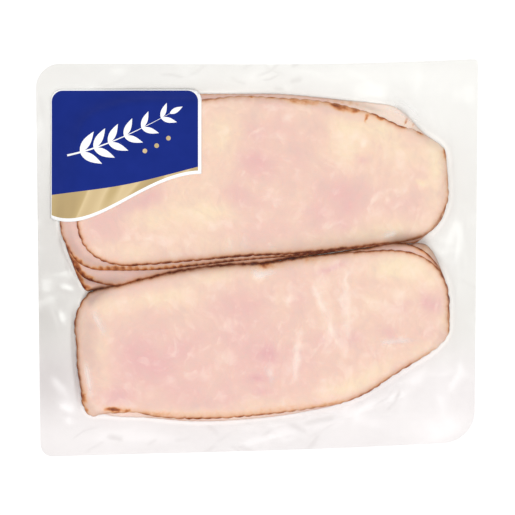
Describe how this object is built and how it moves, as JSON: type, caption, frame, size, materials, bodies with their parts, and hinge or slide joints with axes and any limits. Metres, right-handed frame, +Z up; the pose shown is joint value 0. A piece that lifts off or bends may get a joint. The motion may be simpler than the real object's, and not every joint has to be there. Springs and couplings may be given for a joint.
{
  "type": "pack of sliced turkey breast",
  "caption": "Flat clear vacuum pack holding two fanned stacks of pale sliced cooked poultry breast with browned scalloped edges, a dark blue label over one corner.",
  "frame": {"origin": "middle of the flat underside, at the centre of the pouch's bounding box", "axes": "+X along the long side of the slices, +Y towards the pouch edge that the label sits near, +Z up out of the side that shows the label"},
  "size_m": [0.2078, 0.1868, 0.0091],
  "materials": {
    "clear_film": "clear glossy vacuum film, with pale meat showing through",
    "sliced_meat": "moist pale pink cooked breast meat, marbled with cream, with a thin browned scalloped rim",
    "label": "coated label paper printed dark blue and gold with a white rim, satin"
  },
  "bodies": {
    "root": {"pouch": "clear_film", "label": "label"}
  },
  "joints": []
}
